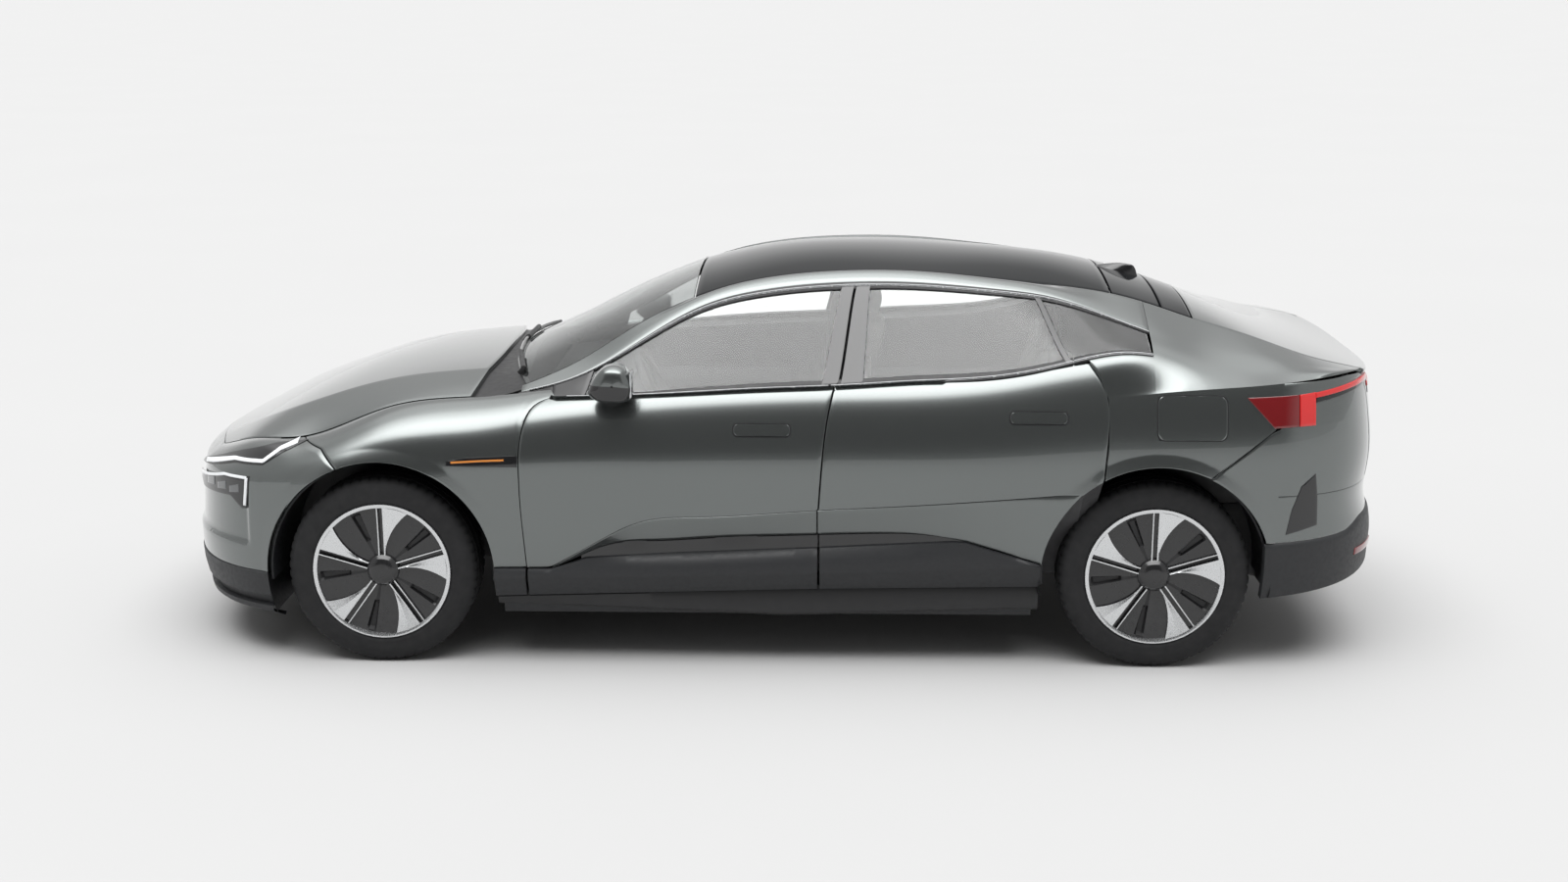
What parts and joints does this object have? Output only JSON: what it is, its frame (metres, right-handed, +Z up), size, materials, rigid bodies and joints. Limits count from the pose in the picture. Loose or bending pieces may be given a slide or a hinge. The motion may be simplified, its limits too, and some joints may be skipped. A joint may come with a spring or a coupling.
{
  "type": "electric coupe sport utility vehicle",
  "caption": "Four-door electric coupe sport utility vehicle with sloping roof, opening doors, bonnet, tailgate and steered wheels.",
  "frame": {"origin": "on the ground below the middle of the car's length and width", "axes": "+X towards the tail, +Y towards the passenger's side, +Z up"},
  "size_m": [4.8522, 2.132, 1.5404],
  "materials": {
    "body_paint": "gloss metallic grey-green paint",
    "dark_trim": "satin dark plastic",
    "roof_glass": "dark tinted glass",
    "side_glass": "tinted glass",
    "headlamp": "clear lens over dark lamp body",
    "tail_lamp": "red lens",
    "structure": "dark primed steel",
    "battery_case": "cast aluminium case",
    "running_gear": "dark cast metal",
    "rim_metal": "machined faces over black",
    "tyre_rubber": "black rubber",
    "seat_fabric": "dark woven seat cover",
    "fascia_trim": "grained soft plastic"
  },
  "bodies": {
    "body": {"body_side_left": "body_paint", "body_side_right": "body_paint", "fender_left": "body_paint", "fender_right": "body_paint", "front_bumper": "body_paint", "rear_bumper": "body_paint", "front_skirt": "dark_trim", "rear_skirt": "dark_trim", "sills": "dark_trim", "cowl": "dark_trim", "wheel_liners": "dark_trim", "charge_socket": "dark_trim", "roof_glass": "roof_glass", "roof_rear": "roof_glass", "windscreen": "roof_glass", "quarter_glass": "side_glass", "headlamps": "headlamp", "tail_lamps": "tail_lamp", "floor_pan": "structure", "front_pillars": "structure", "middle_pillars": "structure", "roof_headers": "structure", "front_frame": "structure", "battery_pack": "battery_case", "front_axle": "running_gear", "rear_axle": "running_gear", "drive_motors": "running_gear", "front_seats": "seat_fabric", "rear_bench": "seat_fabric", "fascia": "fascia_trim", "steering_wheel": "fascia_trim"},
    "door_fl": {"door_front_left": "body_paint", "glass_front_left": "side_glass", "mirror_left": "body_paint"},
    "door_fr": {"door_front_right": "body_paint", "glass_front_right": "side_glass", "mirror_right": "body_paint"},
    "door_rl": {"door_rear_left": "body_paint", "glass_rear_left": "side_glass"},
    "door_rr": {"door_rear_right": "body_paint", "glass_rear_right": "side_glass"},
    "bonnet": {"bonnet": "body_paint"},
    "tailgate": {"tailgate": "body_paint"},
    "charge_flap": {"charge_flap": "body_paint"},
    "knuckle_fl": {"knuckle_front_left": "running_gear"},
    "knuckle_fr": {"knuckle_front_right": "running_gear"},
    "wheel_fl": {"tyre_front_left": "tyre_rubber", "rim_front_left": "rim_metal"},
    "wheel_fr": {"tyre_front_right": "tyre_rubber", "rim_front_right": "rim_metal"},
    "wheel_rl": {"tyre_rear_left": "tyre_rubber", "rim_rear_left": "rim_metal"},
    "wheel_rr": {"tyre_rear_right": "tyre_rubber", "rim_rear_right": "rim_metal"}
  },
  "joints": [
    {"name": "steer_left", "type": "hinge", "parent": "body", "child": "knuckle_fl", "pos_m": [-1.524, -0.76, 0.37], "axis": [0, 0, 1], "range_deg": [-34, 34]},
    {"name": "steer_right", "type": "hinge", "parent": "body", "child": "knuckle_fr", "pos_m": [-1.524, 0.76, 0.37], "axis": [0, 0, 1], "range_deg": [-34, 34]},
    {"name": "spin_front_left", "type": "hinge", "parent": "knuckle_fl", "child": "wheel_fl", "pos_m": [-1.524, -0.835, 0.37], "axis": [0, 1, 0], "continuous": true},
    {"name": "spin_front_right", "type": "hinge", "parent": "knuckle_fr", "child": "wheel_fr", "pos_m": [-1.524, 0.835, 0.37], "axis": [0, 1, 0], "continuous": true},
    {"name": "spin_rear_left", "type": "hinge", "parent": "body", "child": "wheel_rl", "pos_m": [1.476, -0.835, 0.37], "axis": [0, 1, 0], "continuous": true},
    {"name": "spin_rear_right", "type": "hinge", "parent": "body", "child": "wheel_rr", "pos_m": [1.476, 0.835, 0.37], "axis": [0, 1, 0], "continuous": true},
    {"name": "door_front_left_hinge", "type": "hinge", "parent": "body", "child": "door_fl", "pos_m": [-0.976, -1.004, 0.6], "axis": [0, 0, -1], "range_deg": [0, 68]},
    {"name": "door_front_right_hinge", "type": "hinge", "parent": "body", "child": "door_fr", "pos_m": [-0.976, 1.004, 0.6], "axis": [0, 0, 1], "range_deg": [0, 68]},
    {"name": "door_rear_left_hinge", "type": "hinge", "parent": "body", "child": "door_rl", "pos_m": [0.173, -1.004, 0.6], "axis": [0, 0, -1], "range_deg": [0, 68]},
    {"name": "door_rear_right_hinge", "type": "hinge", "parent": "body", "child": "door_rr", "pos_m": [0.173, 1.004, 0.6], "axis": [0, 0, 1], "range_deg": [0, 68]},
    {"name": "bonnet_hinge", "type": "hinge", "parent": "body", "child": "bonnet", "pos_m": [-1.134, 0, 1.109], "axis": [0, 1, 0], "range_deg": [0, 55]},
    {"name": "tailgate_hinge", "type": "hinge", "parent": "body", "child": "tailgate", "pos_m": [1.53, 0, 1.403], "axis": [0, -1, 0], "range_deg": [0, 75]},
    {"name": "charge_flap_hinge", "type": "hinge", "parent": "body", "child": "charge_flap", "pos_m": [1.475, -0.994, 0.985], "axis": [0, 0, -1], "range_deg": [0, 95]}
  ],
  "couplings": [
    {"joint": "steer_right", "follows": "steer_left", "ratio": 1}
  ]
}
